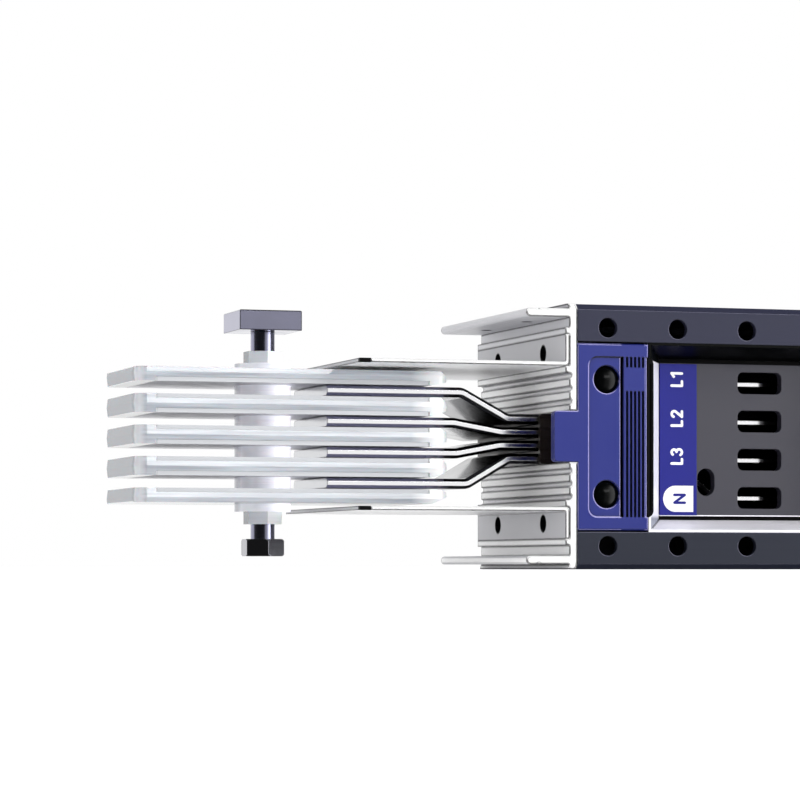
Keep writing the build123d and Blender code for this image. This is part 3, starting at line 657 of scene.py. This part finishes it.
def makeGapShadeStrips(c):
    labelLow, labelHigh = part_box("phase_label")
    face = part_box("contact_block")[0].y
    beside, above = [border / 1000 for border in c["border"]]
    left = labelLow.x - beside
    right = sum(corner.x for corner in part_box("upper_window_liner")) - left
    low, high = labelLow.z - above, labelHigh.z + above
    gap, thick = c["gap"] / 1000, c["thick"] / 1000
    # two strips of painted shade in rubber, and one strip of painted highlight in the liner's
    # metal
    for name, foot, top, front, back, slot in (
            ("lower_gap_shade_strip", low - gap, low, face + gap - thick, face + gap, "rubber"),
            ("upper_gap_shade_strip", high, high + gap, face + gap - thick, face + gap, "rubber"),
            ("panel_highlight_strip", low, low + c["highlightHeight"] / 1000, face - c["highlightProud"] / 1000,
             face + thick, "liner")):
        outline = np.array([[left, foot], [right, foot], [right, top], [left, top]])
        inkPiece(name, [outline], front, back, materialsBySlot[slot])


makeGapShadeStrips(gapShadeStrips)
print("gap seals made")

# Studio: what polished metal mirrors, the even light on dull surfaces, and the floor
studio = {
    "round": (  # degrees from the camera side (-Y) towards +X, and the brightness mirrored there
        (-180, 1.3), (-150, 1.5), (-110, 1.3), (-98, 0.1), (-60, 0.03), (0, 0.04), (8, 0.3),
        (15, 0.95), (30, 1.0), (50, 6.0), (70, 6.0), (76, 0.08), (120, 0.08), (135, 0.9),
        (180, 1.3),
    ),
    "top": 6.0,       # brightest value in the ramp above
    "up": ((-0.65, 0.04), (-0.5, 1.0), (0.5, 1.0), (0.65, 0.04)),    # height, and what is left
    "ambient": 0.5,   # even light that reaches dull surfaces
    "floorHalf": 12.0,          # metres, half the floor's side
    "floorColour": "#FDFDFD",
    "floorGlow": (0.15, 0.5),   # the floor is a light table, so that it meets the backdrop
    "floorReach": (1.0, 4.0),   # metres from the busway where the glow starts and ends to rise
    "panels": {     # place, what it aims at and size in metres, and watts
        "lowRight": ((1.6, -1.75, 0.2), (-0.08, 0, 0.06), (1.6, 0.36), 8),
        "strip": ((0.82, -2.25, 0.87), (-0.05, 0, 0.06), (1.4, 0.45), 12),
        "lowLeft": ((-2.2, -0.9, 0.25), (-0.1, 0, 0.06), (1.4, 0.5), 3),
        "above": ((0.2, 0.2, 2.2), (0, 0, 0), (2.4, 2.0), 28),
    },
    "mirrored": "strip",        # the only panel that polished surfaces mirror
}


def makeSky(c):
    # polished surfaces mirror a ramp over the compass angle times a ramp over height; dull
    # surfaces get an even light; the camera sees a white backdrop
    world = bpy.data.worlds.new("studio")
    bpy.context.scene.world = world
    world.use_nodes = True
    tree = world.node_tree
    tree.nodes.clear()
    way = addNode(tree, "SeparateXYZ", {0: addNode(tree, "TexCoord").outputs["Generated"]})
    towards = addNode(tree, "Math", {0: way.outputs["Y"], 1: -1.0}, operation="MULTIPLY")
    angle = addNode(tree, "Math", {0: way.outputs["X"], 1: towards.outputs[0]},
                    operation="ARCTAN2")
    turn = between(tree, angle.outputs[0], -math.pi, math.pi)
    ring = addNode(tree, "ValToRGB", {"Fac": turn})
    setRamp(ring, [((a + 180) / 360, (*[b / c["top"]] * 3, 1)) for a, b in c["round"]])
    rise = addNode(tree, "ValToRGB", {"Fac": between(tree, way.outputs["Z"], -1, 1)})
    setRamp(rise, [((h + 1) / 2, (*[b] * 3, 1)) for h, b in c["up"]])
    glow = addNode(tree, "Math", {0: ring.outputs["Color"], 1: rise.outputs["Color"]},
                   operation="MULTIPLY")
    mirrored = addNode(tree, "Math", {0: glow.outputs[0], 1: c["top"]}, operation="MULTIPLY")
    ray = addNode(tree, "LightPath")
    light = addNode(tree, "Background", {
        "Color": (1, 1, 1, 1), "Strength": mirrored.outputs[0]}).outputs[0]
    for kind, strength in (("Is Diffuse Ray", c["ambient"]), ("Is Camera Ray", 1.0)):
        even = addNode(tree, "Background", {"Color": (1, 1, 1, 1), "Strength": strength})
        light = addNode(tree, "MixShader", {
            0: ray.outputs[kind], 1: light, 2: even.outputs[0]}).outputs[0]
    addNode(tree, "OutputWorld", {"Surface": light})


def addPanel(name, place, aim, size, watts, inMirrors):
    data = bpy.data.lights.new(name, "AREA")
    data.shape, data.size, data.size_y = "RECTANGLE", size[0], size[1]
    data.energy = watts
    holder = bpy.data.objects.new(name, data)
    holder.location = place
    holder.rotation_mode = "QUATERNION"
    holder.rotation_quaternion = (Vector(aim) - Vector(place)).to_track_quat("-Z", "Y")
    holder.visible_glossy = inMirrors
    holder.visible_camera = False
    bpy.context.scene.collection.objects.link(holder)


def makeFloor(c):
    # a plain pale floor sheet with a very faint mottling; polished metal mirrors the ramps
    # through it
    half = c["floorHalf"]
    corners = [(-half, -half, 0), (half, -half, 0), (half, half, 0), (-half, half, 0)]
    mesh = bpy.data.meshes.new("floor")
    mesh.from_pydata(corners, [], [(0, 1, 2, 3)])
    floor = bpy.data.objects.new("floor", mesh)
    bpy.context.scene.collection.objects.link(floor)
    material, tree, shader = newMaterial("paleFloor", {
        "Roughness": 0.7, "Emission Color": (1, 1, 1, 1)})
    dress(tree, shader, layered(tree, c["floorColour"], (noiseAt(tree, 300), "#FFFFFF")))
    away = addNode(tree, "VectorMath", {0: addNode(tree, "TexCoord").outputs["Object"]},
                   operation="LENGTH").outputs["Value"]
    tree.links.new(between(tree, away, *c["floorReach"], *c["floorGlow"]),
                   shader.inputs["Emission Strength"])
    clear = addNode(tree, "MixShader", {
        0: addNode(tree, "LightPath").outputs["Is Glossy Ray"], 1: shader.outputs[0],
        2: addNode(tree, "BsdfTransparent").outputs[0]})
    tree.links.new(clear.outputs[0], tree.nodes["Material Output"].inputs["Surface"])
    mesh.materials.append(material)


makeSky(studio)
makeFloor(studio)
for name, panel in studio["panels"].items():
    addPanel(name, *panel, inMirrors=name == studio["mirrored"])
print("studio made")
